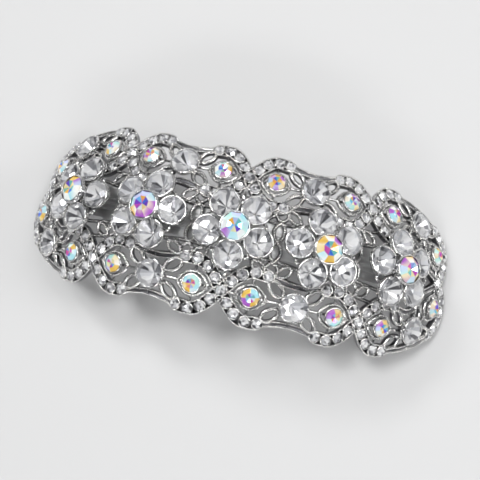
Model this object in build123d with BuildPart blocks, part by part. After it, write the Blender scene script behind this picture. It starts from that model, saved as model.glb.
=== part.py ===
"""A rhinestone hair barrette: a bowed and domed filigree ornament on a sprung clasp.

The ornament's face is a surface of revolution about the arch axis (parallel to Y).  Everything on it
is laid out in flat coordinates: u runs along the length, v across the width, h above the face.
A border chain of eight equal motifs runs round a stadium-shaped centreline; five raised flowers stand
in a row along v = 0, and the clasp hangs under the row.  All lengths are millimetres.
"""

from build123d import *
from math import cos, degrees, pi, radians, sin
import os

# ---- the ornament's face -------------------------------------------------------------------------
ARCH_R = 67.5  # arch radius at the flower row
DOME_R = 60.0  # radius of the dome across the width
LEAN = radians(10)  # how far the flower row's normal leans towards +Y
PLATE = 1.2  # thickness of the cast filigree

# ---- the border chain ----------------------------------------------------------------------------
CHAIN_R = 15.1  # distance of the chain's centreline from the flower row, and its end radius
CHAIN_RUN = 50.0  # half length of the chain's straight runs
MOTIFS = 8
MOTIF = (4 * CHAIN_RUN + 2 * pi * CHAIN_R) / MOTIFS
EYE = 11.0  # from a motif's middle stone to the small stones in its eyes
STRAND_PEAK = 6.4  # how far a strand swings out beside an eye
STRAND_WAIST = 5.0  # and beside the middle stone
PAVE_AT = (16.3, 14.1, 11.0, 7.7)  # strand stones, from the motif's middle, on a straight run
PAVE_ROUND = (16.5, 14.7, 12.8, 10.8, 8.8, 6.8)  # and on the outside of the round ends
LEAF_AT, LEAF_L, LEAF_W, LEAF_ANGLE = 6.2, 3.4, 1.6, 38.0  # the open leaves beside a middle stone
CRESCENT_R, CRESCENT_W = 3.7, 1.2  # the crescents that part a small stone from the strands
CORNER_AT = 15.0  # the small opening where the strands come together
VALLEY, VALLEY_R = 6.0, 12.0  # the scallop's valley beside a middle stone
BORDER_HALF = 7.5  # half width of the border at the scallops' peaks
LARGE_H, SMALL_H, PAVE_H = 1.7, 1.2, 0.15  # heights of the girdles
STEM_SHARE = 0.7  # a setting's stem, as a share of its stone

# ---- the flowers ---------------------------------------------------------------------------------
FLOWERS = 5
FLOWER_PITCH = 22.0
FLOWER_TURNS = (4.0, 6.0, -91.0, 178.0, 26.0)  # how each flower is turned, in degrees
PETALS = 5
PETAL_AT = 6.95  # from the flower's middle to a petal stone
PETAL_H = 4.9  # height of a petal stone's girdle
PETAL_TILT = 9.0  # petals lean outwards
HEART_H = 7.2  # height of the raised middle stone's girdle
POST_R, ARM_OUT_W, ARM_OUT_T = 1.4, 1.4, 1.2  # the post on the clasp and the arms to the petals
STRUT_W = 1.2
STRUT_REACH = (7.1, 8.0, 11.6, 8.0, 7.1)  # how far each flower's struts reach towards the border

# ---- stones and their cups -----------------------------------------------------------------------
LARGE, SMALL, PAVE = 7.2, 4.7, 2.7  # stone diameters
FACETS = 8
TABLE_SHARE, CROWN_SHARE, GIRDLE_SHARE, PAVILION_SHARE = 0.56, 0.17, 0.05, 0.40
CUP_WALL = 0.32
STONE_GAP = 0.03  # clearance round a stone in its cup
SEAM_TURN = 38.0  # keeps a setting's seam line off the struts' edges

# ---- the clasp -----------------------------------------------------------------------------------
GAP_Z = 57.0  # the middle of the hair gap, above the arch axis
BASE_IN, BASE_OUT = 64.4, 65.2  # radii of the base bar
BASE_HALF = 39.0  # degrees each side of the apex
BASE_W = 8.4
RIB_H, RIB_W, RIB_Y = 0.45, 1.0, 2.9
PIN_ANGLE, PIN_AT, PIN_R = -37.0, 61.0, 0.6
EAR_T, EAR_R, EAR_Y = 0.7, 1.7, 3.85  # EAR_Y is the middle of an ear
RUN_GAP, SIDE_GAP = 0.05, 0.1  # clearances on the pin and between knuckles
KNUCKLE_R, BAR_KNUCKLE = 1.3, 2.0  # knuckle radius, and the width of the tension bar's one
ARM_T, ARM_W, ARM_MID = 0.9, 6.0, 54.2  # ARM_MID is the height of the arm's middle
EYE_X, EYE_Z, EYE_L, EYE_W = 36.0, 46.0, 7.4, 8.2  # the slotted end of the arm, over the catch
BAR_T, BAR_W, BAR_MID, BAR_TIP = 0.5, 5.6, 61.4, (32.0, 53.0)
LEG_W, LEG_T, LEG_Y, LEG_TOP, LEG_L = 3.4, 0.6, 2.0, 51.4, 7.8  # LEG_Y is a leg's middle
BARB = 0.4  # how far a leg's barb stands out
SLOT_L, SLOT_W = 4.6, 5.5  # the slot that the legs pass through
LEG_PLAY = 0.1


def face_point(u, v, h=0.0):
    """The point of the ornament's face at flat coordinates (u, v), raised by h."""
    lean = LEAN + v / DOME_R
    reach = ARCH_R + (DOME_R + h) * cos(lean) - DOME_R * cos(LEAN)
    across = (DOME_R + h) * sin(lean) - DOME_R * sin(LEAN)
    return Vector(reach * sin(u / ARCH_R), across, reach * cos(u / ARCH_R))


def face_normal(u, v):
    lean = LEAN + v / DOME_R
    return Vector(sin(u / ARCH_R) * cos(lean), sin(lean), cos(u / ARCH_R) * cos(lean))


def turned(plane, turn):
    """The same plane with its x direction turned about its own normal by turn degrees."""
    x_dir = plane.x_dir * cos(radians(turn)) + plane.y_dir * sin(radians(turn))
    return Plane(plane.origin, x_dir, plane.z_dir)


def face_plane(u, v, h=0.0, turn=0.0):
    """A plane standing on the face, its x direction turned from +u by turn degrees."""
    along = Vector(cos(u / ARCH_R), 0, -sin(u / ARCH_R))
    return turned(Plane(face_point(u, v, h), along, face_normal(u, v)), turn)


def chain_point(motif, s, w=0.0):
    """Flat (u, v, heading in degrees) at s along a motif from its middle and w outwards."""
    t = ((motif + 0.5) * MOTIF + s) % (MOTIFS * MOTIF)
    half = MOTIFS * MOTIF / 2
    side = 1 if t < half else -1
    t = t % half
    if t < CHAIN_RUN:
        u, v, turn = t, CHAIN_R + w, 0.0
    elif t < CHAIN_RUN + pi * CHAIN_R:
        turn = (t - CHAIN_RUN) / CHAIN_R
        u, v = CHAIN_RUN + (CHAIN_R + w) * sin(turn), (CHAIN_R + w) * cos(turn)
    else:
        u, v, turn = CHAIN_RUN - (t - CHAIN_RUN - pi * CHAIN_R), -CHAIN_R - w, pi
    heading = -degrees(turn) if side == 1 else 180 - degrees(turn)
    return side * u, side * v, heading


def strand_swing(s):
    """How far a strand stands from the chain's centreline, s from the motif's middle."""
    s = abs(s)
    if s < EYE:
        return STRAND_WAIST + (STRAND_PEAK - STRAND_WAIST) * (1 - cos(pi * s / EYE)) / 2
    return STRAND_PEAK * cos(pi / 2 * (s - EYE) / (MOTIF / 2 - EYE))


def stone(diameter):
    """A foil-backed chaton: an eight-sided crown and pavilion cut on a round blank, its girdle at z = 0."""
    radius = diameter / 2
    crown, girdle, pavilion = (diameter * k for k in (CROWN_SHARE, GIRDLE_SHARE, PAVILION_SHARE))
    wide, table, culet = radius * 1.02, radius * TABLE_SHARE, radius * 0.04
    with BuildPart() as cut:
        for bottom, low, top, high in (
            (0, wide, crown, table),
            (-girdle, wide, 0, wide),
            (-girdle - pavilion, culet, -girdle, wide),
        ):
            with BuildSketch(Plane.XY.offset(bottom)):
                RegularPolygon(low, FACETS, major_radius=False)
            with BuildSketch(Plane.XY.offset(top)):
                RegularPolygon(high, FACETS, major_radius=False)
            loft()
        Cylinder(radius, 2 * diameter, mode=Mode.INTERSECT)
    return cut.part


def setting(diameter, height):
    """A border stone's setting: a collar on the casting and a stem through it, hollowed to a cone."""
    radius = diameter / 2
    girdle, pavilion = diameter * GIRDLE_SHARE, diameter * PAVILION_SHARE
    seat = -girdle - 0.1 * pavilion
    culet = -girdle - pavilion - STONE_GAP
    with BuildPart() as ring:
        with BuildSketch(Plane.XZ):
            with BuildLine():
                Polyline(
                    (0, culet), (0.05 * radius + 0.08, culet), (radius + STONE_GAP, seat),
                    (radius + STONE_GAP, 0), (radius + CUP_WALL, 0), (radius + CUP_WALL, 0.03 - height),
                    (STEM_SHARE * radius, 0.03 - height), (STEM_SHARE * radius, culet - 0.3),
                    (0, culet - 0.3), close=True
                )
            make_face()
        revolve(axis=Axis.Z)
    return ring.part


def cup(diameter):
    """The outside of a stone's setting: a short collar on a cone, its rim at z = 0."""
    rim = diameter / 2 + CUP_WALL
    collar = 0.14 * diameter
    depth = diameter * (GIRDLE_SHARE + PAVILION_SHARE) + 0.36
    with BuildPart() as body:
        with Locations(Rotation(0, 0, SEAM_TURN)):
            Cylinder(rim, collar, align=(Align.CENTER, Align.CENTER, Align.MAX))
        with Locations(Pos(0, 0, -collar) * Rotation(0, 0, SEAM_TURN)):
            Cone(0.45 * rim, rim, depth - collar, align=(Align.CENTER, Align.CENTER, Align.MAX))
    return body.part


def cup_bore(diameter):
    """What a setting is hollowed by: a bore for the girdle over a cone for the pavilion."""
    radius = diameter / 2
    girdle, pavilion = diameter * GIRDLE_SHARE, diameter * PAVILION_SHARE
    seat = girdle + 0.1 * pavilion
    with BuildPart() as bore:
        with Locations(Pos(0, 0, -seat) * Rotation(0, 0, SEAM_TURN)):
            Cylinder(radius + STONE_GAP, seat + 3, align=(Align.CENTER, Align.CENTER, Align.MIN))
            Cone(
                0.05 * radius + 0.08,
                radius + STONE_GAP,
                0.9 * pavilion + STONE_GAP,
                align=(Align.CENTER, Align.CENTER, Align.MAX),
            )
    return bore.part


def write(shape, name):
    """Label a finished piece and write it, with the origin moved to the middle of the hair gap."""
    placed = shape.moved(Location((0, 0, -GAP_Z)))
    placed.label = name
    export_step(placed, f"parts/{name}.step")


def set_stones(blank, planes, name):
    """Copies of one stone or setting, each standing on its own plane, written as one node."""
    with BuildPart() as stones:
        with Locations(*planes):
            add(blank)
    write(stones.part, name)


def chain_seat(motif, s, w, height):
    u, v, heading = chain_point(motif, s, w)
    return face_plane(u, v, height, heading)


def pave_spots(motif):
    """(s, w) of the strand stones of a motif."""
    spots = []
    for side in (-1, 1):
        bend = abs(chain_point(motif, side * EYE)[0]) > CHAIN_RUN
        spots += [(side * s, strand_swing(s)) for s in (PAVE_ROUND if bend else PAVE_AT)]
        spots += [] if bend else [(side * s, -strand_swing(s)) for s in PAVE_AT]
    return spots


def border_cuts(motif):
    """(cutter, planes) of everything that is cut through or into a motif of the border."""
    leaves, crescents, corners, notches, valleys = [], [], [], [], []
    for angle in (LEAF_ANGLE, 180 - LEAF_ANGLE, 180 + LEAF_ANGLE, -LEAF_ANGLE):
        s, w = LEAF_AT * cos(radians(angle)), LEAF_AT * sin(radians(angle))
        leaves.append(turned(chain_seat(motif, s, w, 0), angle))
    for side in (0, 180):
        out = 1 if side == 0 else -1
        crescents += [turned(chain_seat(motif, e * EYE, 0, 0), side) for e in (-1, 1)]
        corners.append(turned(chain_seat(motif, out * CORNER_AT, 0, 0), side))
        notches.append(turned(chain_seat(motif, MOTIF / 2, 0, 0), side))
        valleys.append(turned(chain_seat(motif, 0, 0, 0), side))
    pave = [chain_seat(motif, s, w, PAVE_H) for s, w in [*pave_spots(motif), (MOTIF / 2, 0)]]
    return leaves, crescents, corners, notches, valleys, pave


def through(sketch):
    """A flat outline made into a cutter that passes through the casting."""
    with BuildPart() as cutter:
        add(sketch)
        extrude(amount=3, both=True)
    return cutter.part


def border_casting(patch, motifs, name):
    """A stretch of the border cut from a patch of the face: openings, edges, stems and pave seats."""
    cuts = [border_cuts(motif) for motif in motifs]
    with BuildSketch() as leaf:
        Ellipse(LEAF_L / 2, LEAF_W / 2)
    with BuildSketch() as crescent:
        SlotArc(CenterArc((0, 0), CRESCENT_R, 40, 100), CRESCENT_W)
    with BuildSketch() as corner:
        Polygon((-1.3, -1.9), (1.1, 0), (-1.3, 1.9))
    with BuildSketch() as notch:
        Polygon((0, 2.8), (4.9, 7.4), (4.9, 11), (-4.9, 11), (-4.9, 7.4), align=None)
    with BuildSketch() as valley:
        with Locations((0, VALLEY + VALLEY_R)):
            Circle(VALLEY_R)
    tools = [through(shape.sketch) for shape in (leaf, crescent, corner, notch, valley)]
    with BuildPart() as casting:
        add(patch)
        for kind, tool in enumerate(tools):
            with Locations(*[plane for motif_cuts in cuts for plane in motif_cuts[kind]]):
                add(tool, mode=Mode.SUBTRACT)
        with Locations(*[plane for motif_cuts in cuts for plane in motif_cuts[-1]]):
            Cylinder(PAVE / 2 + STONE_GAP, 5, mode=Mode.SUBTRACT)
        with Locations(*[chain_seat(motif, 0, 0, 0) for motif in motifs]):
            Cylinder(STEM_SHARE * LARGE / 2 + 0.03, 9, mode=Mode.SUBTRACT)
        with Locations(*[chain_seat(motif, e * EYE, 0, 0) for motif in motifs for e in (-1, 1)]):
            Cylinder(STEM_SHARE * SMALL / 2 + 0.03, 9, mode=Mode.SUBTRACT)
    whole = Compound(casting.part.solids().filter_by(lambda solid: solid.volume > 20))
    write(whole, name)


def face_patch(u0, u1, v0, v1):
    """A patch of the ornament's shell between flat limits, as a solid of revolution about Y."""
    middle = Vector(0, -DOME_R * sin(LEAN), ARCH_R - DOME_R * cos(LEAN))
    start, sweep_angle = 90 - degrees(LEAN + v1 / DOME_R), degrees((v1 - v0) / DOME_R)
    with BuildPart() as patch:
        with BuildSketch(Plane(middle, (0, 1, 0), (1, 0, 0))):
            with BuildLine():
                top = CenterArc((0, 0), DOME_R, start, sweep_angle)
                bottom = CenterArc((0, 0), DOME_R - PLATE, start, sweep_angle)
                Line(top @ 0, bottom @ 0)
                Line(top @ 1, bottom @ 1)
            make_face()
        revolve(axis=Axis.Y, revolution_arc=degrees((u1 - u0) / ARCH_R))
    return patch.part.rotate(Axis.Y, degrees(u0 / ARCH_R))


def flower_plane(flower, height, turn=0.0):
    return face_plane((flower - (FLOWERS - 1) / 2) * FLOWER_PITCH, 0, height, turn)


def petal_seats(flower):
    """The planes of a flower's petal stones, leaning outwards."""
    seats = []
    for petal in range(PETALS):
        middle = flower_plane(flower, PETAL_H, FLOWER_TURNS[flower] + petal * 360 / PETALS)
        lean = radians(PETAL_TILT)
        normal = middle.z_dir * cos(lean) + middle.x_dir * sin(lean)
        seats.append(Plane(middle.origin + middle.x_dir * PETAL_AT, middle.x_dir, normal))
    return seats


def flower_casting(flower):
    """A flower's settings on a post that stands on the clasp, with two struts to the border."""
    with BuildPart() as casting:
        with Locations(flower_plane(flower, HEART_H)):
            Cylinder(POST_R, HEART_H + 3.6, align=(Align.CENTER, Align.CENTER, Align.MAX))
            add(cup(LARGE))
        foot = PETAL_H - LARGE * (GIRDLE_SHARE + PAVILION_SHARE) - 0.36
        for petal in range(PETALS):
            turn = FLOWER_TURNS[flower] + petal * 360 / PETALS
            with Locations(flower_plane(flower, foot, turn)):
                Box(PETAL_AT + 0.8, ARM_OUT_W, ARM_OUT_T, align=(Align.MIN, Align.CENTER, Align.MIN))
        for side in (90, -90):
            with Locations(flower_plane(flower, 0, side)):
                Box(
                    STRUT_REACH[flower], STRUT_W, PLATE, align=(Align.MIN, Align.CENTER, Align.MAX)
                )
        for seat in petal_seats(flower):
            with Locations(seat):
                add(cup(LARGE))
        for seat in (flower_plane(flower, HEART_H), *petal_seats(flower)):
            with Locations(seat):
                add(cup_bore(LARGE), mode=Mode.SUBTRACT)
        Cylinder(BASE_OUT, 4 * BASE_W, rotation=(90, 0, 0), mode=Mode.SUBTRACT)
    write(casting.part, f"flower_casting_{flower + 1}")


def polar(angle, radius):
    """A point of the XZ plane, angle measured from +Z towards +X."""
    return radius * sin(radians(angle)), radius * cos(radians(angle))


os.makedirs("parts", exist_ok=True)

# ---- the ornament --------------------------------------------------------------------------------
inner_v, outer_v = CHAIN_R - BORDER_HALF, CHAIN_R + BORDER_HALF
border_casting(face_patch(-CHAIN_RUN, CHAIN_RUN, inner_v, outer_v), (6, 7, 0, 1), "border_upper")
border_casting(face_patch(-CHAIN_RUN, CHAIN_RUN, -outer_v, -inner_v), (2, 3, 4, 5), "border_lower")
for side, motifs, name in ((1, (1, 2), "border_right_end"), (-1, (5, 6), "border_left_end")):
    near, far = sorted((side * CHAIN_RUN, side * (CHAIN_RUN + outer_v + 1)))
    with BuildPart() as end_patch:
        add(face_patch(near, far, -outer_v - 1, outer_v + 1))
        with Locations(face_plane(side * CHAIN_RUN, 0)):
            Cylinder(outer_v - 0.4, 40, mode=Mode.INTERSECT)
            Cylinder(inner_v, 40, mode=Mode.SUBTRACT)
    border_casting(end_patch.part, motifs, name)
for flower in range(FLOWERS):
    flower_casting(flower)
all_large = [chain_seat(motif, 0, 0, LARGE_H) for motif in range(MOTIFS)]
all_small = [chain_seat(motif, e * EYE, 0, SMALL_H) for motif in range(MOTIFS) for e in (-1, 1)]
set_stones(setting(LARGE, LARGE_H), all_large, "border_clear_settings")
set_stones(setting(SMALL, SMALL_H), all_small, "border_iridescent_settings")

large_stone, small_stone, pave_stone = stone(LARGE), stone(SMALL), stone(PAVE)
set_stones(large_stone, all_large, "border_clear_stones")
set_stones(small_stone, all_small, "border_iridescent_stones")
for half, motifs in (("right", (0, 1, 2, 3)), ("left", (4, 5, 6, 7))):
    set_stones(
        pave_stone,
        [chain_seat(m, s, w, PAVE_H) for m in motifs for s, w in pave_spots(m)],
        f"pave_stones_{half}",
    )
set_stones(
    pave_stone, [chain_seat(m, MOTIF / 2, 0, PAVE_H) for m in range(MOTIFS)], "crossing_stones"
)
for flower in range(FLOWERS):
    set_stones(large_stone, petal_seats(flower), f"petal_stones_{flower + 1}")
    set_stones(large_stone, [flower_plane(flower, HEART_H)], f"heart_stone_{flower + 1}")

# ---- the clasp's fixed parts ---------------------------------------------------------------------
with BuildPart() as clasp_base:
    for inner, outer, bar_y, bar_w in (
        (BASE_IN, BASE_OUT, 0, BASE_W),
        (BASE_OUT - 0.1, BASE_OUT + RIB_H, RIB_Y, RIB_W),
        (BASE_OUT - 0.1, BASE_OUT + RIB_H, -RIB_Y, RIB_W),
    ):
        with BuildSketch(Plane.XZ.offset(-bar_y)):
            with BuildLine():
                top = CenterArc((0, 0), outer, 90 - BASE_HALF, 2 * BASE_HALF)
                bottom = CenterArc((0, 0), inner, 90 - BASE_HALF, 2 * BASE_HALF)
                Line(top @ 0, bottom @ 0)
                Line(top @ 1, bottom @ 1)
            make_face()
        extrude(amount=bar_w / 2, both=True)
    for side in (-1, 1):
        with BuildSketch(Plane.XZ.offset(-side * EAR_Y)):
            with Locations(polar(PIN_ANGLE, PIN_AT)):
                Circle(EAR_R)
            with Locations(polar(PIN_ANGLE, (PIN_AT + BASE_IN) / 2 + 0.2)):
                Rectangle(2 * EAR_R, BASE_IN - PIN_AT + 0.4, rotation=-PIN_ANGLE)
            with Locations(polar(PIN_ANGLE, PIN_AT)):
                Circle(PIN_R, mode=Mode.SUBTRACT)
        extrude(amount=EAR_T / 2, both=True)
write(clasp_base.part, "clasp_base")

pin_x, pin_z = polar(PIN_ANGLE, PIN_AT)
with BuildPart() as hinge_pin:
    with Locations((pin_x, 0, pin_z)):
        Cylinder(PIN_R, 2 * EAR_Y + EAR_T, rotation=(90, 0, 0))
    for side in (-1, 1):
        with Locations((pin_x, side * (EAR_Y + EAR_T / 2 + 0.2), pin_z)):
            Cylinder(PIN_R + 0.35, 0.4, rotation=(90, 0, 0))
write(hinge_pin.part, "hinge_pin")

with BuildPart() as catch_bridge:
    with BuildSketch(Plane.XY.offset(LEG_TOP + LEG_PLAY)):
        with Locations((EYE_X, 0)):
            Rectangle(LEG_W + 0.6, 2 * LEG_Y + 2 * LEG_T + 0.8)
    extrude(amount=6)
    Cylinder(BASE_IN, 2 * BASE_W, rotation=(90, 0, 0), mode=Mode.INTERSECT)
write(catch_bridge.part, "catch_bridge")

# ---- the clasp's moving parts --------------------------------------------------------------------
with BuildPart() as locking_arm:
    with BuildSketch(Plane.XZ):
        with BuildLine():
            spine = ThreePointArc((pin_x, pin_z), (0, ARM_MID), (EYE_X - EYE_L / 2, EYE_Z))
        trace(line_width=ARM_T)
    extrude(amount=ARM_W / 2, both=True)
    with Locations((EYE_X, 0, EYE_Z)):
        Box(EYE_L, EYE_W, ARM_T)
        Box(SLOT_L, SLOT_W, 4 * ARM_T, mode=Mode.SUBTRACT)
    with Locations((pin_x, 0, pin_z)):
        Cylinder(KNUCKLE_R, 2 * EAR_Y - EAR_T - 2 * SIDE_GAP, rotation=(90, 0, 0))
        Cylinder(KNUCKLE_R + 1.2, BAR_KNUCKLE + 2 * SIDE_GAP, rotation=(90, 0, 0), mode=Mode.SUBTRACT)
        Cylinder(PIN_R + RUN_GAP, 2 * EAR_Y, rotation=(90, 0, 0), mode=Mode.SUBTRACT)
write(locking_arm.part, "locking_arm")

with BuildPart() as tension_bar:
    with BuildSketch(Plane.XZ):
        with BuildLine():
            ThreePointArc((pin_x + 3.2, pin_z + 3.4), (0, BAR_MID), BAR_TIP)
        trace(line_width=BAR_T)
    extrude(amount=BAR_W / 2, both=True)
    with BuildSketch(Plane.XZ):
        with BuildLine():
            Polyline((pin_x, pin_z), (pin_x + 1.3, pin_z + 1.7), (pin_x + 3.6, pin_z + 3.65))
        trace(line_width=BAR_T)
    extrude(amount=BAR_KNUCKLE / 2, both=True)
    with Locations((pin_x, 0, pin_z)):
        Cylinder(KNUCKLE_R, BAR_KNUCKLE, rotation=(90, 0, 0))
        Cylinder(PIN_R + RUN_GAP, 2 * EAR_Y, rotation=(90, 0, 0), mode=Mode.SUBTRACT)
write(tension_bar.part, "tension_bar")

for side, name in ((1, "release_leg_back"), (-1, "release_leg_front")):
    with BuildPart() as leg:
        with BuildSketch(Plane.YZ.offset(EYE_X)):
            y, t, foot = side * LEG_Y, side * LEG_T / 2, LEG_TOP - LEG_L
            with BuildLine():
                Polyline(
                    (y - t, LEG_TOP), (y + t, LEG_TOP), (y + t, EYE_Z - ARM_T), (y + t + side * BARB,
                    EYE_Z - ARM_T - BARB), (y + t, foot), (y - t, foot), close=True
                )
            make_face()
        extrude(amount=LEG_W / 2, both=True)
    write(leg.part, name)
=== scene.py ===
import bpy
import numpy as np
from math import atan2, cos, degrees, pi, radians, sin
from mathutils import Vector, Matrix


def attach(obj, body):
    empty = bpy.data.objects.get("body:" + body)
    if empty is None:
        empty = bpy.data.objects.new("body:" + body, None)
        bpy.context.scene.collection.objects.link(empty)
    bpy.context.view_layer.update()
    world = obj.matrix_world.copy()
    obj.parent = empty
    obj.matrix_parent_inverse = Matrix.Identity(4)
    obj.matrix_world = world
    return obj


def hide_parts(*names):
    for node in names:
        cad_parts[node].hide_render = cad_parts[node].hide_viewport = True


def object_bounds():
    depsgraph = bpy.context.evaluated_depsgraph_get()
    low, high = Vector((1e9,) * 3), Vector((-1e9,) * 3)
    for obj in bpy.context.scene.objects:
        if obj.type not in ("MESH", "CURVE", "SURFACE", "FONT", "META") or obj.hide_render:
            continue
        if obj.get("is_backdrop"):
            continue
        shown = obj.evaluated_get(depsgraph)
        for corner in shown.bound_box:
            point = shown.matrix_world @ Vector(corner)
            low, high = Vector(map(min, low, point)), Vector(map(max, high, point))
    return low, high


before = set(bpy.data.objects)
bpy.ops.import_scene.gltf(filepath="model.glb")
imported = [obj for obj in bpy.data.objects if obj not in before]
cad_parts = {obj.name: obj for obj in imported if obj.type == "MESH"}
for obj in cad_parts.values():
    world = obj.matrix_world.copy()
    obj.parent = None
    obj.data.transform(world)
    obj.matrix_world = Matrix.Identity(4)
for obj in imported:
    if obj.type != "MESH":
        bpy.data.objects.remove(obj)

lo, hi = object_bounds()
cad_box = [list(lo), list(hi)]

# ---- the ornament's face, as the CAD lays it out (mm) --------------------------------------------
ARCH_R, DOME_R, LEAN, GAP_Z = 67.5, 60.0, radians(10), 57.0
CHAIN_R, CHAIN_RUN, MOTIFS = 15.1, 50.0, 8
MOTIF = (4 * CHAIN_RUN + 2 * pi * CHAIN_R) / MOTIFS
EYE, PEAK, WAIST = 11.0, 6.4, 5.0
PAVE_LIFT = 0.22  # the strand stones stand this much proud of their seats
PAVE_AT = (16.3, 14.1, 11.0, 7.7)
PAVE_ROUND = (16.5, 14.7, 12.8, 10.8, 8.8, 6.8)
LARGE, SMALL, PAVE = 7.2, 4.7, 2.7
LARGE_H, SMALL_H, PAVE_H = 1.7, 1.2, 0.15
FLOWERS, PITCH, TURNS, PETALS = 5, 22.0, (4.0, 6.0, -91.0, 178.0, 26.0), 5
PETAL_AT, PETAL_H, PETAL_TILT, HEART_H = 6.95, 4.9, radians(9), 7.2
STRUTS = (7.1, 8.0, 11.6, 8.0, 7.1)


def seat(u, v, h=0.0, turn=0.0):
    """A 4x4 frame on the face: origin at (u, v) raised by h, x turned from +u by turn degrees."""
    lean, th = LEAN + v / DOME_R, u / ARCH_R
    reach = ARCH_R + (DOME_R + h) * cos(lean) - DOME_R * cos(LEAN)
    m = np.eye(4)
    ex = np.array([cos(th), 0.0, -sin(th)])
    ez = np.array([sin(th) * cos(lean), sin(lean), cos(th) * cos(lean)])
    ey = np.cross(ez, ex)
    t = radians(turn)
    m[:3, 0] = ex * cos(t) + ey * sin(t)
    m[:3, 1] = ey * cos(t) - ex * sin(t)
    m[:3, 2] = ez
    m[:3, 3] = (
        reach * sin(th),
        (DOME_R + h) * sin(lean) - DOME_R * sin(LEAN),
        reach * cos(th) - GAP_Z,
    )
    return m


def chain(motif, s, w=0.0):
    """(u, v, heading) at s along a motif of the border from its middle, and w outwards."""
    t = ((motif + 0.5) * MOTIF + s) % (MOTIFS * MOTIF)
    half = MOTIFS * MOTIF / 2
    side = 1 if t < half else -1
    t = t % half
    if t < CHAIN_RUN:
        u, v, turn = t, CHAIN_R + w, 0.0
    elif t < CHAIN_RUN + pi * CHAIN_R:
        turn = (t - CHAIN_RUN) / CHAIN_R
        u, v = CHAIN_RUN + (CHAIN_R + w) * sin(turn), (CHAIN_R + w) * cos(turn)
    else:
        u, v, turn = CHAIN_RUN - (t - CHAIN_RUN - pi * CHAIN_R), -CHAIN_R - w, pi
    return side * u, side * v, (-degrees(turn) if side == 1 else 180 - degrees(turn))


def swing(s):
    """How far a strand stands off the chain's centreline at s along a motif."""
    s = abs(s)
    if s < EYE:
        return WAIST + (PEAK - WAIST) * (1 - cos(pi * s / EYE)) / 2
    return PEAK * cos(pi / 2 * (s - EYE) / (MOTIF / 2 - EYE))


def cseat(motif, s, w, h, turn=0.0):
    """A seat on the border, given along and across a motif."""
    u, v, heading = chain(motif, s, w)
    return seat(u, v, h, heading + turn)


def pave_spots(motif):
    spots = []
    for side in (-1, 1):
        bend = abs(chain(motif, side * EYE)[0]) > CHAIN_RUN
        spots += [(side * s, swing(s)) for s in (PAVE_ROUND if bend else PAVE_AT)]
        spots += [] if bend else [(side * s, -swing(s)) for s in PAVE_AT]
    return spots


def flower_seat(k, h, turn=0.0):
    return seat((k - 2) * PITCH, 0, h, turn)


def petal_seat(k, j):
    m = flower_seat(k, PETAL_H, TURNS[k] + j * 72)
    n = m.copy()
    n[:3, 3] = m[:3, 3] + m[:3, 0] * PETAL_AT
    n[:3, 2] = m[:3, 2] * cos(PETAL_TILT) + m[:3, 0] * sin(PETAL_TILT)
    n[:3, 0] = m[:3, 0] * cos(PETAL_TILT) - m[:3, 2] * sin(PETAL_TILT)
    return n


# ---- mesh building -------------------------------------------------------------------------------
class Mesh:
    """Collects shapes, in mm, and makes one object of them."""

    def __init__(self):
        self.verts, self.faces, self.mats, self.smooth, self.count = [], [], [], [], 0

    def add(self, verts, faces, mat=0, smooth=True, place=None):
        verts = np.asarray(verts, float)
        if place is not None:
            verts = verts @ place[:3, :3].T + place[:3, 3]
        self.verts.append(verts)
        n = self.count
        self.faces += [tuple(i + n for i in f) for f in faces]
        self.mats += list(mat) if isinstance(mat, (list, tuple)) else [mat] * len(faces)
        self.smooth += [smooth] * len(faces)
        self.count += len(verts)

    def make(self, name, materials):
        mesh = bpy.data.meshes.new(name)
        mesh.from_pydata((np.concatenate(self.verts) * 0.001).tolist(), [], self.faces)
        for m in materials:
            mesh.materials.append(m)
        mesh.polygons.foreach_set("material_index", self.mats)
        mesh.polygons.foreach_set("use_smooth", self.smooth)
        mesh.update()
        piece = bpy.data.objects.new(name, mesh)
        bpy.context.scene.collection.objects.link(piece)
        return piece


def lathe(profile, n=24, close=False):
    """Rings of n points for a list of (radius, z); the ends may be closed with caps."""
    a = np.arange(n) * 2 * pi / n
    verts = [(r * cos(t), r * sin(t), z) for r, z in profile for t in a]
    faces = [
        (i * n + j, i * n + (j + 1) % n, (i + 1) * n + (j + 1) % n, (i + 1) * n + j)
        for i in range(len(profile) - 1) for j in range(n)
    ]
    if close:
        faces.append(tuple(range(n))[::-1])
        faces.append(tuple((len(profile) - 1) * n + j for j in range(n)))
    return verts, faces


def bead_shape():
    """A small round bead, low in polygons because there are thousands."""
    return lathe([(0.02, -1), (0.70, -0.71), (1, 0), (0.70, 0.71), (0.02, 1)], 8, True)


BEAD = bead_shape()


def beads(mesh, points, radius):
    for p in points:
        mesh.add(np.array(BEAD[0]) * radius + p, BEAD[1])


def resample(points, step, closed=False):
    """Points about a step apart along a path."""
    pts = np.asarray(points, float)
    if closed:
        pts = np.vstack([pts, pts[:1]])
    d = np.r_[0, np.cumsum(np.linalg.norm(np.diff(pts, axis=0), axis=1))]
    n = max(2, int(round(d[-1] / step)))
    at = np.linspace(0, d[-1], n + 1)
    at = at[:-1] if closed else at
    return np.stack([np.interp(at, d, pts[:, i]) for i in range(3)], 1)


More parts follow.
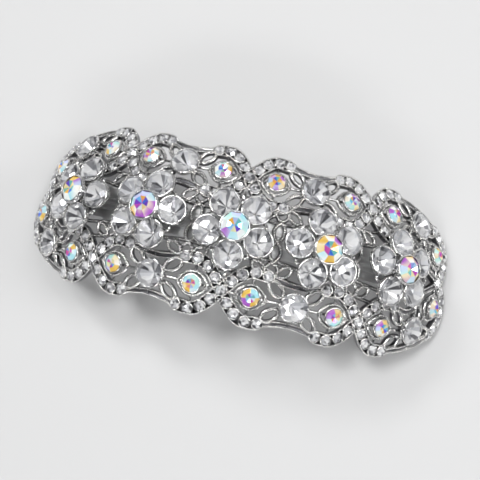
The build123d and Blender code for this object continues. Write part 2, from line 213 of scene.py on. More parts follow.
def sweep(mesh, points, normals, section, closed=False, widths=None):
    """Sweep a closed section of (side, up) points along a path with given normals.

    The section's faces that lie low take the second material; in the filigree and the flowers that is the
    darker silver, painted shade on their undersides.
    """
    pts, nor = np.asarray(points), np.asarray(normals)
    n = len(pts)
    if closed:
        tan = np.roll(pts, -1, 0) - np.roll(pts, 1, 0)
    else:
        tan = np.gradient(pts, axis=0)
    tan /= np.linalg.norm(tan, axis=1)[:, None]
    side = np.cross(nor, tan)
    side /= np.linalg.norm(side, axis=1)[:, None]
    up = np.cross(tan, side)
    k = len(section)
    # faces low in the section take the second material: painted shade where that is the darker silver
    shade = {a for a in range(k) if section[a][1] + section[(a + 1) % k][1] < 0.1}
    widths = np.ones(n) if widths is None else widths
    verts = []
    for i in range(n):
        verts += [pts[i] + side[i] * a * widths[i] + up[i] * b for a, b in section]
    faces, mats = [], []
    for i in range(n if closed else n - 1):
        j = (i + 1) % n
        faces += [(i * k + a, i * k + (a + 1) % k, j * k + (a + 1) % k, j * k + a) for a in range(k)]
        mats += [1 if a in shade else 0 for a in range(k)]
    if not closed:
        faces += [tuple(range(k))[::-1], tuple((n - 1) * k + a for a in range(k))]
        mats += [0, 0]
    mesh.add(verts, faces, mats)


def circle(r, n=8):
    return [(r * cos(2 * pi * i / n), r * sin(2 * pi * i / n)) for i in range(n)]


# ---- materials -----------------------------------------------------------------------------------
def node_material(name):
    mat = bpy.data.materials.new(name)
    mat.use_nodes = True
    nodes, links = mat.node_tree.nodes, mat.node_tree.links
    return mat, nodes, links, nodes["Principled BSDF"]


def face_depth(nodes, links, place):
    """A socket with the height above the ornament's face, in metres, in the object's coordinates."""
    split = nodes.new("ShaderNodeSeparateXYZ")
    links.new(place.outputs["Object"], split.inputs[0])
    radial = nodes.new("ShaderNodeCombineXYZ")
    lift = nodes.new("ShaderNodeMath")
    lift.inputs[1].default_value = GAP_Z * 0.001
    links.new(split.outputs["Z"], lift.inputs[0])
    links.new(split.outputs["X"], radial.inputs["X"])
    links.new(lift.outputs[0], radial.inputs["Y"])
    reach = nodes.new("ShaderNodeVectorMath")
    reach.operation = "LENGTH"
    links.new(radial.outputs[0], reach.inputs[0])
    section = nodes.new("ShaderNodeCombineXYZ")
    links.new(reach.outputs["Value"], section.inputs["X"])
    links.new(split.outputs["Y"], section.inputs["Y"])
    middle = nodes.new("ShaderNodeVectorMath")
    middle.operation = "SUBTRACT"
    middle.inputs[1].default_value = (
        (ARCH_R - DOME_R * cos(LEAN)) * 0.001, -DOME_R * sin(LEAN) * 0.001, 0,
    )
    links.new(section.outputs[0], middle.inputs[0])
    radius = nodes.new("ShaderNodeVectorMath")
    radius.operation = "LENGTH"
    links.new(middle.outputs[0], radius.inputs[0])
    height = nodes.new("ShaderNodeMath")
    height.operation = "SUBTRACT"
    height.inputs[1].default_value = DOME_R * 0.001
    links.new(radius.outputs["Value"], height.inputs[0])
    return height.outputs[0]


def metal(name, color, dark, low, high, scale, bump, shade_paint=None):
    """Plated metal: patchy roughness, painted shade in the hollows and a fine cast skin.

    Given a shade colour, the metal darkens to it from the face down into the openings: painted shade
    standing in for the shadow that falls there.
    """
    mat, nodes, links, bsdf = node_material(name)
    bsdf.inputs["Metallic"].default_value = 1.0
    place = nodes.new("ShaderNodeTexCoord")
    patches = nodes.new("ShaderNodeTexNoise")
    patches.inputs["Scale"].default_value = scale
    patches.inputs["Detail"].default_value = 4
    links.new(place.outputs["Object"], patches.inputs["Vector"])
    rough = nodes.new("ShaderNodeMapRange")
    rough.inputs["From Min"].default_value = 0.3
    rough.inputs["From Max"].default_value = 0.7
    rough.inputs["To Min"].default_value = low
    rough.inputs["To Max"].default_value = high
    links.new(patches.outputs["Fac"], rough.inputs["Value"])
    links.new(rough.outputs["Result"], bsdf.inputs["Roughness"])
    tint = nodes.new("ShaderNodeValToRGB")
    tint.color_ramp.elements[0].position = 0.30
    tint.color_ramp.elements[0].color = (*dark, 1)
    tint.color_ramp.elements[1].position = 0.62
    tint.color_ramp.elements[1].color = (*color, 1)
    links.new(patches.outputs["Fac"], tint.inputs["Fac"])
    # painted shade: darker with depth below the face, fully dark 0.65 mm down, standing in for the shadow
    # in the openings
    if shade_paint:
        shade = nodes.new("ShaderNodeMapRange")
        shade.inputs["From Min"].default_value = -0.00065
        shade.inputs["From Max"].default_value = 0.00010
        links.new(face_depth(nodes, links, place), shade.inputs["Value"])
        blend = nodes.new("ShaderNodeMix")
        blend.data_type = "RGBA"
        blend.inputs[6].default_value = (*shade_paint, 1)
        links.new(shade.outputs["Result"], blend.inputs[0])
        links.new(tint.outputs["Color"], blend.inputs[7])
        links.new(blend.outputs[2], bsdf.inputs["Base Color"])
    else:
        links.new(tint.outputs["Color"], bsdf.inputs["Base Color"])
    skin = nodes.new("ShaderNodeTexNoise")
    skin.inputs["Scale"].default_value = scale * 9
    skin.inputs["Detail"].default_value = 3
    links.new(place.outputs["Object"], skin.inputs["Vector"])
    relief = nodes.new("ShaderNodeBump")
    relief.inputs["Strength"].default_value = bump
    relief.inputs["Distance"].default_value = 0.00005
    links.new(skin.outputs["Fac"], relief.inputs["Height"])
    links.new(relief.outputs["Normal"], bsdf.inputs["Normal"])
    return mat


def brushed(name):
    """Rolled steel with a fine grain along its length."""
    mat, nodes, links, bsdf = node_material(name)
    bsdf.inputs["Metallic"].default_value = 0.8
    place = nodes.new("ShaderNodeTexCoord")
    stretch = nodes.new("ShaderNodeMapping")
    stretch.inputs["Scale"].default_value = (60, 5200, 60)
    grain = nodes.new("ShaderNodeTexNoise")
    grain.inputs["Scale"].default_value = 1.0
    grain.inputs["Detail"].default_value = 5
    links.new(place.outputs["Object"], stretch.inputs["Vector"])
    links.new(stretch.outputs["Vector"], grain.inputs["Vector"])
    rough = nodes.new("ShaderNodeMapRange")
    rough.inputs["To Min"].default_value = 0.22
    rough.inputs["To Max"].default_value = 0.46
    links.new(grain.outputs["Fac"], rough.inputs["Value"])
    links.new(rough.outputs["Result"], bsdf.inputs["Roughness"])
    tint = nodes.new("ShaderNodeValToRGB")
    tint.color_ramp.elements[0].color = (0.66, 0.66, 0.66, 1)
    tint.color_ramp.elements[1].color = (0.98, 0.98, 0.97, 1)
    links.new(grain.outputs["Fac"], tint.inputs["Fac"])
    links.new(tint.outputs["Color"], bsdf.inputs["Base Color"])
    relief = nodes.new("ShaderNodeBump")
    relief.inputs["Strength"].default_value = 0.25
    relief.inputs["Distance"].default_value = 0.00004
    links.new(grain.outputs["Fac"], relief.inputs["Height"])
    links.new(relief.outputs["Normal"], bsdf.inputs["Normal"])
    return mat


def crystal(name, strength):
    """A cut stone's clear surface: its mirror-like share of reflection over the foil behind it."""
    mat, nodes, links, bsdf = node_material(name)
    bsdf.inputs["Base Color"].default_value = (1, 1, 1, 1)
    bsdf.inputs["Metallic"].default_value = 1.0
    bsdf.inputs["Roughness"].default_value = 0.02
    bsdf.inputs["Alpha"].default_value = strength
    place = nodes.new("ShaderNodeTexCoord")
    wave = nodes.new("ShaderNodeTexNoise")
    wave.inputs["Scale"].default_value = 420
    links.new(place.outputs["Object"], wave.inputs["Vector"])
    relief = nodes.new("ShaderNodeBump")
    relief.inputs["Strength"].default_value = 0.03
    relief.inputs["Distance"].default_value = 0.00003
    links.new(wave.outputs["Fac"], relief.inputs["Height"])
    links.new(relief.outputs["Normal"], bsdf.inputs["Normal"])
    return mat


def foil(name, stops, spread, metallic, alpha=1.0, steps="EASE"):
    """Foil behind a stone or film on it; each facet takes a fixed colour from the way it faces. With white
    and dark stops this is painted reflection, glints and dark facets painted in; with coloured stops it is
    the coating's colours.
    """
    mat, nodes, links, bsdf = node_material(name)
    bsdf.inputs["Metallic"].default_value = metallic
    bsdf.inputs["Alpha"].default_value = alpha
    bsdf.inputs["Roughness"].default_value = 0.03
    geometry = nodes.new("ShaderNodeNewGeometry")
    turn = nodes.new("ShaderNodeVectorMath")
    turn.operation = "DOT_PRODUCT"
    turn.inputs[1].default_value = spread
    links.new(geometry.outputs["True Normal"], turn.inputs[0])
    place = nodes.new("ShaderNodeTexCoord")
    drift = nodes.new("ShaderNodeTexNoise")
    drift.inputs["Scale"].default_value = 90
    links.new(place.outputs["Object"], drift.inputs["Vector"])
    total = nodes.new("ShaderNodeMath")
    total.operation = "ADD"
    links.new(turn.outputs["Value"], total.inputs[0])
    links.new(drift.outputs["Fac"], total.inputs[1])
    wrap = nodes.new("ShaderNodeMath")
    wrap.operation = "FRACT"
    links.new(total.outputs["Value"], wrap.inputs[0])
    tint = nodes.new("ShaderNodeValToRGB")
    ramp = tint.color_ramp
    ramp.interpolation = steps
    for i, color in enumerate(stops):
        at = i / (len(stops) - 1)
        element = ramp.elements[i] if i in (0, 1) and len(stops) > 1 else ramp.elements.new(at)
        element.position = at
        element.color = (*color, 1)
    links.new(wrap.outputs["Value"], tint.inputs["Fac"])
    links.new(tint.outputs["Color"], bsdf.inputs["Base Color"])
    return mat


# painted shade: the colour the cast silver darkens to down in the openings, standing in for shadow there
HOLLOW_SHADE_PAINT = (0.055, 0.055, 0.06)
SILVER = metal("cast_silver", (0.95, 0.94, 0.92), (0.70, 0.70, 0.70), 0.10, 0.26, 260, 0.35, HOLLOW_SHADE_PAINT)
# painted shade: a dark copy of the silver on the low faces of the swept wires and strips and on the cones
# under the cups, standing in for the shade beneath them
PAINTED_SHADE_SILVER = metal("silver_painted_shade", (0.22, 0.22, 0.23), (0.07, 0.07, 0.075), 0.25, 0.45, 300, 0.5)
CUP = metal("setting_silver", (0.95, 0.94, 0.92), (0.72, 0.72, 0.73), 0.06, 0.18, 300, 0.2)
STEEL = brushed("clasp_steel")
GLASS = crystal("crystal", 0.12)
# painted reflections: the clear stones' pavilion facets get fixed white, grey and dark colours from the way
# they face, standing in for light and dark surroundings reflected in the stone
PAVILION_PAINTED_REFLECTIONS = foil(
    "clear_pavilion_painted_reflections",
    [
        (1.0, 1.0, 1.0), (0.30, 0.30, 0.32), (1.0, 1.0, 1.0), (0.66, 0.67, 0.70), (1.0, 1.0, 1.0),
        (0.10, 0.10, 0.11), (0.86, 0.87, 0.90), (1.0, 1.0, 1.0), (0.46, 0.47, 0.50),
    ],
    (2.9, 2.3, 0.9),
    0.30,
    steps="CONSTANT",
)
# painted reflections: the clear stones' crown facets get a fixed mosaic of white and dark, standing in for
# glints and dark reflections
CROWN_PAINTED_REFLECTIONS = foil(
    "clear_crown_painted_reflections",
    [(1.0, 1.0, 1.0), (0.10, 0.10, 0.11), (0.95, 0.95, 0.96), (0.30, 0.31, 0.33), (1.0, 1.0, 1.0)],
    (3.1, 2.3, 1.1),
    0.70,
    0.50,
    "CONSTANT",
)
# painted reflections: every face of the strand stones gets a fixed white, grey or dark colour, standing in
# for their glints and dark reflections
PAVE_PAINTED_REFLECTIONS = foil(
    "strand_painted_reflections",
    [
        (1.0, 1.0, 1.0), (0.55, 0.56, 0.58), (0.98, 0.98, 0.98), (0.10, 0.10, 0.11), (0.92, 0.92, 0.92),
        (0.36, 0.36, 0.38), (1.0, 1.0, 1.0),
    ],
    (2.3, 1.7, 0.9),
    0.45,
)
RAINBOW = foil(
    "iridescent_foil",
    [
        (0.06, 0.20, 0.80), (0.22, 0.07, 0.60), (0.72, 0.12, 0.50), (0.95, 0.50, 0.08), (1.0, 0.90, 0.50),
        (0.20, 0.58, 0.50), (0.18, 0.50, 0.95), (0.90, 0.96, 1.0), (0.06, 0.20, 0.80),
    ],
    (1.9, 1.4, 0.6),
    0.45,
)

FILM = foil(
    "iridescent_film",
    [
        (0.98, 0.99, 1.0), (0.48, 0.88, 0.98), (1.0, 1.0, 0.95), (0.92, 0.60, 0.12), (1.0, 0.90, 0.62),
        (0.50, 0.14, 0.66), (0.66, 0.72, 1.0), (0.58, 0.95, 0.86), (0.98, 0.99, 1.0),
    ],
    (1.3, 1.7, 0.4),
    0.35,
)


# ---- stones --------------------------------------------------------------------------------------
TABLE_RISE = 0.18  # the clear stones' tables are cut as low cones


def chaton(diameter, n=8):
    """A cut stone: a low coned table, five crown facets to each main, a girdle and a pavilion."""
    r = diameter / 2
    table, crown, girdle, pavilion = r * 0.56, diameter * 0.17, diameter * 0.05, diameter * 0.40
    half = pi / n
    verts = [(table * cos((2 * i) * half), table * sin((2 * i) * half), crown) for i in range(n)]
    verts += [
        (r * 0.80 * cos((2 * i + 1) * half), r * 0.80 * sin((2 * i + 1) * half), crown * 0.60)
        for i in range(n)
    ]
    verts += [(r * cos(i * half), r * sin(i * half), 0) for i in range(2 * n)]
    verts += [(r * cos(i * half), r * sin(i * half), -girdle) for i in range(2 * n)]
    verts += [(0, 0, -girdle - pavilion), (0, 0, crown + TABLE_RISE)]
    faces, mats = [(i, (i + 1) % n, 6 * n + 1) for i in range(n)], [0] * n
    g0, g1, tip = 2 * n, 4 * n, 6 * n
    for i in range(n):
        j = (i + 1) % n
        low, mid, high = g0 + 2 * i, g0 + 2 * i + 1, g0 + (2 * i + 2) % (2 * n)
        faces += [(i, n + i, j), (n + i, low, mid), (n + i, mid, high), (i, low, n + i), (j, n + i, high)]
        mats += [2] * 5
        a, b, c = g1 + 2 * i, g1 + 2 * i + 1, g1 + (2 * i + 2) % (2 * n)
        faces += [(low, a, b, mid), (mid, b, c, high), (a, tip, b), (b, tip, c)]
        mats += [1] * 4
    return np.array(verts), faces, mats


def film_chaton(diameter, n=8):
    """A stone with n broad filmed crown facets round a window on to its coloured foil."""
    r = diameter / 2
    table, crown, girdle, pavilion = r * 0.54, diameter * 0.17, diameter * 0.05, diameter * 0.40
    ring = [(cos((2 * i + 1) * pi / n), sin((2 * i + 1) * pi / n)) for i in range(n)]
    verts = [(table * c, table * q, crown) for c, q in ring]
    verts += [(r * c, r * q, 0) for c, q in ring]
    verts += [(r * c, r * q, -girdle) for c, q in ring]
    verts += [(table * 0.46 * c, table * 0.46 * q, crown * 0.80) for c, q in ring]
    verts += [(0, 0, -girdle - pavilion), (0, 0, crown * 0.62)]
    faces, mats = [], []
    for i in range(n):
        j = (i + 1) % n
        faces += [(i, n + i, n + j, j), (n + i, 2 * n + i, 2 * n + j, n + j), (2 * n + i, 4 * n, 2 * n + j)]
        faces += [(i, j, 3 * n + i), (3 * n + i, j, 3 * n + j), (3 * n + i, 3 * n + j, 4 * n + 1)]
        mats += [2, 0, 1, 1, 1, 1]
    return np.array(verts), faces, mats


def stones(name, places, cut, materials, replaced):
    """Copies of one cut stone, each turned a little further in its own seat."""
    mesh = Mesh()
    verts, faces, mats = cut
    for i, place in enumerate(places):
        a = radians(37.0 * i)
        turned = verts.copy()
        turned[:, 0] = verts[:, 0] * cos(a) - verts[:, 1] * sin(a)
        turned[:, 1] = verts[:, 0] * sin(a) + verts[:, 1] * cos(a)
        mesh.add(turned, faces, mats, False, place)
    piece = mesh.make(name, materials)
    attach(piece, "ornament")
    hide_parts(*replaced)
    return piece


motifs = range(MOTIFS)
large = [cseat(m, 0, 0, LARGE_H) for m in motifs]
small = [cseat(m, e * EYE, 0, SMALL_H) for m in motifs for e in (-1, 1)]
pave = [cseat(m, s, w, PAVE_H + PAVE_LIFT) for m in motifs for s, w in pave_spots(m)]
cross = [cseat(m, MOTIF / 2, 0, PAVE_H + 0.5) for m in motifs]
CLEAR, COATED = [GLASS, PAVILION_PAINTED_REFLECTIONS, CROWN_PAINTED_REFLECTIONS], [GLASS, RAINBOW, FILM]
stones("border_clear_gems", large, chaton(LARGE), CLEAR, ["border_clear_stones"])
stones(
    "border_rainbow_gems", small, film_chaton(SMALL), COATED, ["border_iridescent_stones"],
)
stones(
    "pave_gems", pave + cross, film_chaton(PAVE, 6), [PAVE_PAINTED_REFLECTIONS, PAVE_PAINTED_REFLECTIONS, PAVE_PAINTED_REFLECTIONS],
    ["pave_stones_left", "pave_stones_right", "crossing_stones"],
)
for k in range(FLOWERS):
    stones(
        f"petal_gems_{k + 1}", [petal_seat(k, j) for j in range(PETALS)], chaton(LARGE), CLEAR,
        [f"petal_stones_{k + 1}"],
    )
stones(
    "heart_gems", [flower_seat(k, HEART_H, 11 * k) for k in range(FLOWERS)], film_chaton(LARGE), COATED,
    [f"heart_stone_{k + 1}" for k in range(FLOWERS)],
)


# ---- settings ------------------------------------------------------------------------------------
def setting(diameter, depth, foot, lip=0.16, wall=0.32, n=28):
    """A bezel cup: a bright rolled lip over the girdle, a straight collar and a cone below."""
    r = diameter / 2
    g = diameter * 0.05
    verts, faces = lathe(
        [
            (r * 0.90, -g - 0.30), (r + 0.02, -g - 0.02), (r + 0.02, 0.02), (r - 0.06, lip * 0.8),
            (r + 0.04, lip), (r + wall * 0.7, lip * 0.7), (r + wall, -0.02),
            (r + wall * 0.92, -0.9 * wall), (r + wall, -0.14 * diameter),
            (r * 0.86, -0.24 * diameter), (foot, -depth), (foot * 0.2, -depth),
        ],
        n,
    )
    # the cone below takes the second material: painted shade in the cups and flowers
    return verts, faces, [0] * (8 * n) + [1] * (3 * n)


def prongs(mesh, place, diameter, count, size=0.30, turn=0.0):
    """Small bent claws over a stone's girdle."""
    r = diameter / 2
    for i in range(count):
        a = turn + 2 * pi * i / count
        ring = place.copy()
        e = place[:3, 0] * cos(a) + place[:3, 1] * sin(a)
        ring[:3, 3] = place[:3, 3] + e * (r - 0.02) + place[:3, 2] * 0.16
        mesh.add(np.array(BEAD[0]) * (size, size, size * 0.8), BEAD[1], place=ring)


# ---- the border's filigree -----------------------------------------------------------------------
def path_on_chain(motif, pairs, h):
    """Points and normals of a path given along and across a motif."""
    pts, nor = [], []
    for s, w in pairs:
        m = cseat(motif, s, w, h)
        pts.append(m[:3, 3])
        nor.append(m[:3, 2])
    return np.array(pts), np.array(nor)


def ribbon_section(half, depth=1.2, rim=0.30, lift=0.22, floor=-0.1):
    """A strip's section: a raised rim at each edge and a channel between them."""
    return [
        (-half, -depth), (half, -depth), (half, lift), (half - rim * 0.5, lift + 0.06), (half - rim, lift),
        (half - rim - 0.10, floor), (-half + rim + 0.10, floor), (-half + rim, lift),
        (-half + rim * 0.5, lift + 0.06), (-half, lift),
    ]


filigree = Mesh()
for m in motifs:
    for out in (-1, 1):
        bend = [abs(chain(m, side * EYE)[0]) > CHAIN_RUN for side in (-1, 1)]
        for side in (-1, 1):
            is_bare = out == -1 and bend[(side + 1) // 2]
            if is_bare:
                runs = [(0.0, MOTIF / 2, 0.74, True)]
            else:
                runs = [(0.0, 6.2, 0.74, True), (5.9, MOTIF / 2 + 0.3, 1.72, False)]
            for s0, s1, half, wire in runs:
                ss = np.linspace(s0, s1, max(8, int((s1 - s0) / 0.5)))
                pairs = [(side * s, out * (swing(s) if s <= MOTIF / 2 else 0)) for s in ss]
                pts, nor = path_on_chain(m, pairs, 0)
                rim = 0.26 if wire else 0.30
                grow = np.ones(len(ss)) if wire else np.clip(0.42 + 0.58 * (ss - s0) / 1.8, 0, 1)
                section = ribbon_section(half, rim=rim, floor=-0.1 if wire else -1.05)
                sweep(filigree, pts, nor, section, widths=grow)
                for edge in (-1, 1):
                    line = []
                    for i in range(len(pts)):
                        a, b = pts[max(i - 1, 0)], pts[min(i + 1, len(pts) - 1)]
                        t = (b - a) / np.linalg.norm(b - a)
                        sd = np.cross(nor[i], t)
                        line.append(pts[i] + sd * edge * (half * grow[i] - 0.14) + nor[i] * 0.26)
                    beads(filigree, resample(line, 0.60), 0.27)
    # the small stone's own pointed frame, and its stays to the strands
    for e in (-1, 1):
        a = np.linspace(0, 2 * pi, 40, endpoint=False)
        pairs = [
            (e * EYE + 3.15 * cos(t) * (1 + 0.22 * abs(cos(t)) ** 6), 3.05 * sin(t)) for t in a
        ]
        pts, nor = path_on_chain(m, pairs, -0.1)
        sweep(filigree, pts, nor, circle(0.54), closed=True)
        beads(filigree, resample(pts + nor * 0.42, 0.66, True), 0.32)
        for stay in (-1, 1):
            pairs = [(e * EYE, stay * w) for w in np.linspace(2.4, 5.2, 5)]
            pts, nor = path_on_chain(m, pairs, -0.5)
            sweep(filigree, pts, nor, circle(0.38, 6))
        for s0, s1, n in ((2.6, 8.8, 7), (13.2, 17.4, 5)):
            pairs = [(e * s, 0) for s in np.linspace(s0, s1, n)]
            pts, nor = path_on_chain(m, pairs, -0.35)
            sweep(filigree, pts, nor, circle(0.42, 6))
    # open leaves fanned between the large stone and the small ones
    for base, tilt in ((34, 6), (146, -6), (214, 6), (326, -6)):
        b = radians(base)
        cs, cw = 6.15 * cos(b), 6.15 * sin(b)
        d = radians(base + tilt)
        leaf = []
        for t in np.linspace(0, 2 * pi, 30, endpoint=False):
            x, y = 2.70 * cos(t), 1.45 * sin(t) * (1 - 0.35 * abs(cos(t)) ** 3)
            leaf.append((cs + x * cos(d) - y * sin(d), cw + x * sin(d) + y * cos(d)))
        pts, nor = path_on_chain(m, leaf, 0)
        rail = [(-0.52, -1.0), (0.52, -1.0), (0.54, 0.0), (0.18, 0.24), (-0.18, 0.24), (-0.54, 0.0)]
        sweep(filigree, pts, nor, rail, closed=True)
        beads(filigree, resample(pts + nor * 0.28, 0.64, True), 0.32)
    prongs(filigree, cseat(m, MOTIF / 2, 0, PAVE_H + 0.45), PAVE, 4, 0.26, 0.78)
    for s, w in pave_spots(m):
        slope = atan2(swing(abs(s) + 0.1) - swing(abs(s) - 0.1), 0.2)
        slope *= (1 if s > 0 else -1) * (1 if w > 0 else -1)
        prongs(filigree, cseat(m, s, w, PAVE_H + 0.1), PAVE, 4, 0.21, slope + pi / 4)
for m in motifs:
    # seats under the pavé, so that no stone hangs over a hollow
    for s, w in [*pave_spots(m), (MOTIF / 2, 0)]:
        cup_v, cup_f = lathe([(1.34, 0.10), (1.52, 0.12), (1.60, -0.1), (1.45, -1.1), (0.4, -1.2)], 16)
        filigree.add(cup_v, cup_f, place=cseat(m, s, w, PAVE_H + PAVE_LIFT))


def face_path(pairs, h):
    """Points and normals of a path given in the face's own u and v."""
    ms = [seat(u, v, h) for u, v in pairs]
    return np.array([m[:3, 3] for m in ms]), np.array([m[:3, 2] for m in ms])


def wire_loop(u, v, long, wide, turn, h=-0.5):
    """A milgrained leaf-shaped loop of wire, turned by turn degrees."""
    a, c, q = np.linspace(0, 2 * pi, 30, endpoint=False), cos(radians(turn)), sin(radians(turn))
    shape = [(long * cos(t), wide * sin(t) * (1 - 0.35 * abs(cos(t)) ** 3)) for t in a]
    pts, nor = face_path([(u + x * c - y * q, v + x * q + y * c) for x, y in shape], h)
    sweep(filigree, pts, nor, circle(0.56, 8), closed=True)
    beads(filigree, resample(pts + nor * 0.46, 0.64, True), 0.32)


for side in (-1, 1):
    for rail_v, half_u in ((9.3, 50.0), (5.4, 46.0)):
        us = np.linspace(-half_u, half_u, 160)
        pts, nor = face_path([(u, side * (rail_v + 0.5 * cos(2 * pi * u / PITCH))) for u in us], -0.75)
        sweep(filigree, pts, nor, circle(0.52, 8))
        beads(filigree, resample(pts + nor * 0.44, 0.62), 0.31)
    for u in (-33, -11, 11, 33):
        wire_loop(u, side * 7.3, 1.7, 1.7, 0)
        wire_loop(u - 3.4, side * 7.2, 2.2, 1.2, 35 * side)
        wire_loop(u + 3.4, side * 7.2, 2.2, 1.2, -35 * side)
        wire_loop(u, side * 2.6, 2.5, 1.4, 90)
    wire_loop(side * 50.5, 3.0, 2.3, 1.4, 60)
    wire_loop(side * 50.5, -3.0, 2.3, 1.4, 60)
    for u, v, turn in ((56.6, 0, 0), (55.3, 4.6, 42), (55.3, -4.6, -42)):
        wire_loop(side * u, v, 2.7, 1.6, side * turn)
piece = filigree.make("border_filigree", [SILVER, PAINTED_SHADE_SILVER])
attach(piece, "ornament")
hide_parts("border_upper", "border_lower", "border_left_end", "border_right_end")

cups = Mesh()
for place in large:
    cups.add(*setting(LARGE, 3.5, 2.0), place=place)
    prongs(cups, place, LARGE, 8, 0.30, 0.2)
for place in small:
    cups.add(*setting(SMALL, 2.3, 1.3, 0.14, 0.30), place=place)
piece = cups.make("border_settings", [CUP, PAINTED_SHADE_SILVER])
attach(piece, "ornament")
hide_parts("border_clear_settings", "border_iridescent_settings")

# ---- the flowers ---------------------------------------------------------------------------------
STRUT_SECTION = [(-0.6, -0.6), (0.6, -0.6), (0.6, 0.45), (0, 0.6), (-0.6, 0.45)]
for k in range(FLOWERS):
    flower = Mesh()
    heart = flower_seat(k, HEART_H)
    flower.add(*setting(LARGE, 3.6, 1.7, 0.30, 0.36), place=heart)
    post_v, post_f = lathe([(1.4, -3.4), (1.4, -9.4)], 16)
    flower.add(post_v, post_f, place=heart)
    rim = lathe([(3.70, -0.55), (3.98, -0.62), (3.98, -0.86), (3.70, -0.92)], 28)
    flower.add(*rim, place=heart)
    for j in range(PETALS):
        place = petal_seat(k, j)
        flower.add(*setting(LARGE, 3.6, 1.5, 0.20, 0.32), place=place)
        prongs(flower, place, LARGE, 5, 0.30, 0.3)
        arm = flower_seat(k, PETAL_H - 3.1, TURNS[k] + j * 72)
        pts = np.array([arm[:3, 3] + arm[:3, 0] * x for x in np.linspace(0.5, PETAL_AT, 6)])
        sweep(flower, pts, np.tile(arm[:3, 2], (6, 1)), circle(0.62, 8))
        leaf = flower_seat(k, PETAL_H - 1.9, TURNS[k] + j * 72 + 36)
        wire = [
            leaf[:3, 3] + leaf[:3, 0] * (5.6 + 2.3 * cos(t)) + leaf[:3, 1] * 1.1 * sin(t)
            for t in np.linspace(0, 2 * pi, 24, endpoint=False)
        ]
        sweep(flower, wire, np.tile(leaf[:3, 2], (24, 1)), circle(0.42, 6), closed=True)
        beads(flower, resample(np.array(wire) + leaf[:3, 2] * 0.32, 0.60, True), 0.28)
    for side in (90, -90):
        strut = flower_seat(k, -0.6, side)
        pts = np.array([strut[:3, 3] + strut[:3, 0] * x for x in np.linspace(0.6, STRUTS[k], 6)])
        sweep(flower, pts, np.tile(strut[:3, 2], (6, 1)), STRUT_SECTION)
    piece = flower.make(f"flower_{k + 1}", [CUP, PAINTED_SHADE_SILVER])
    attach(piece, "ornament")
    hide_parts(f"flower_casting_{k + 1}")

# ---- the clasp keeps its CAD shapes --------------------------------------------------------------
for node in (
    "clasp_base", "hinge_pin", "catch_bridge", "locking_arm", "tension_bar", "release_leg_back",
    "release_leg_front",
):
    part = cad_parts[node]
    part.data.materials.clear()
    part.data.materials.append(STEEL)

# ---- the ridges rolled into the clasp's bar, seen between the flowers ----------------------------
BAR_OUT, BAR_HALF, RIDGE_R = 65.2, radians(37), 0.36
ridges = Mesh()
for y in (-1.5, 0.0, 1.5):
    angles = np.linspace(-BAR_HALF, BAR_HALF, 60)
    pts = np.array([(BAR_OUT * sin(a), y, BAR_OUT * cos(a) - GAP_Z) for a in angles])
    nor = np.array([(sin(a), 0, cos(a)) for a in angles])
    sweep(ridges, pts, nor, circle(RIDGE_R, 10))
piece = ridges.make("clasp_ridges", [STEEL, STEEL])
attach(piece, "ornament")

# ---- floor, lights and camera --------------------------------------------------------------------
FLOOR_GAP = 0.0002  # metres below the part, so that the two don't share a plane
FLAT, BEND, WALL = 1500, 900, 900  # mm: the paper lies flat, then curves up into a wall all round
cove = Mesh()
curve = [(FLAT + BEND * sin(a), BEND * (1 - cos(a))) for a in np.linspace(0, pi / 2, 13)]
cove.add(*lathe([(0.01, 0), (FLAT / 2, 0), *curve, (FLAT + BEND, BEND + WALL)], 64))
floor = cove.make("floor", [])
floor.location.z = cad_box[0][2] - FLOOR_GAP
paper, _, _, bsdf = node_material("floor_paper")
bsdf.inputs["Base Color"].default_value = (0.56, 0.56, 0.56, 1)
bsdf.inputs["Roughness"].default_value = 0.7
floor.data.materials.append(paper)
floor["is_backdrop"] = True

world = bpy.data.worlds.new("studio")
bpy.context.scene.world = world
world.use_nodes = True
world.node_tree.nodes["Background"].inputs["Color"].default_value = (0.40, 0.41, 0.43, 1)
world.node_tree.nodes["Background"].inputs["Strength"].default_value = 0.36


def aimed(at):
    """The rotation of a light at that place, aimed at the part."""
    return (-Vector(at)).to_track_quat("-Z", "Y").to_euler()


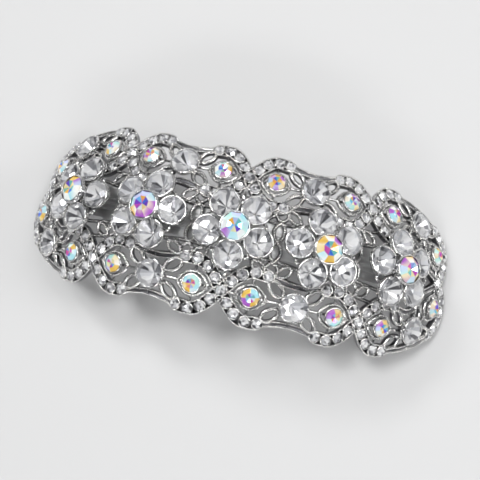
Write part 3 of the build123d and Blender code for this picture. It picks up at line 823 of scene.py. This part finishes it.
def softbox(name, at, size, power):
    light = bpy.data.lights.new(name, "AREA")
    light.shape = "RECTANGLE"
    light.size, light.size_y = size
    light.energy = power
    obj = bpy.data.objects.new(name, light)
    obj.location = at
    obj.rotation_euler = aimed(at)
    bpy.context.scene.collection.objects.link(obj)


sun = bpy.data.objects.new("sun", bpy.data.lights.new("sun", "SUN"))
sun.data.energy = 1.6
sun.data.angle = radians(11)
sun.rotation_euler = aimed((-0.20, 0.17, 0.90))
sun.visible_glossy = False
bpy.context.scene.collection.objects.link(sun)
SOFTBOXES = {  # place and size in metres, power in watts
    "key": ((-0.35, 0.30, 0.55), (0.16, 0.16), 1.5),
    "fill": ((0.45, 0.10, 0.40), (0.10, 0.26), 0.9),
    "front": ((0.05, -0.45, 0.40), (0.26, 0.08), 0.8),
    "strip": ((0.10, 0.20, 0.60), (0.40, 0.05), 0.7),
    "spark_left": ((-0.22, -0.12, 0.62), (0.06, 0.06), 0.3),
    "spark_right": ((0.26, 0.24, 0.58), (0.06, 0.06), 0.3),
    "spark_top": ((-0.02, 0.06, 0.80), (0.05, 0.05), 0.25),
}
for name, (at, size, power) in SOFTBOXES.items():
    softbox(name, at, size, power)

# the camera looks down on the ornament, square to its middle, with the object rolled in the frame
TIP, PAN, ROLL = radians(-1.52), radians(-4.18), radians(-13.56)
FAR, LENS, SENSOR = 250.0, 74.46, 36.0  # mm
SHIFT = (0.0098, -0.0169)
turn = Matrix.Rotation(ROLL, 3, "Z") @ Matrix.Rotation(PAN, 3, "Y") @ Matrix.Rotation(TIP, 3, "X")
apex = Vector((0, 0, ARCH_R - GAP_Z))
camera = bpy.data.objects.new("camera", bpy.data.cameras.new("camera"))
back = turn.transposed()
camera.matrix_world = Matrix.Translation((apex + back @ Vector((0, 0, FAR))) * 0.001) @ back.to_4x4()
camera.data.sensor_width = SENSOR
camera.data.lens = LENS
camera.data.shift_x, camera.data.shift_y = SHIFT
camera.data.clip_start = 0.01
bpy.context.scene.collection.objects.link(camera)
bpy.context.scene.camera = camera
bpy.context.scene.view_settings.view_transform = "Standard"

lo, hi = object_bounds()
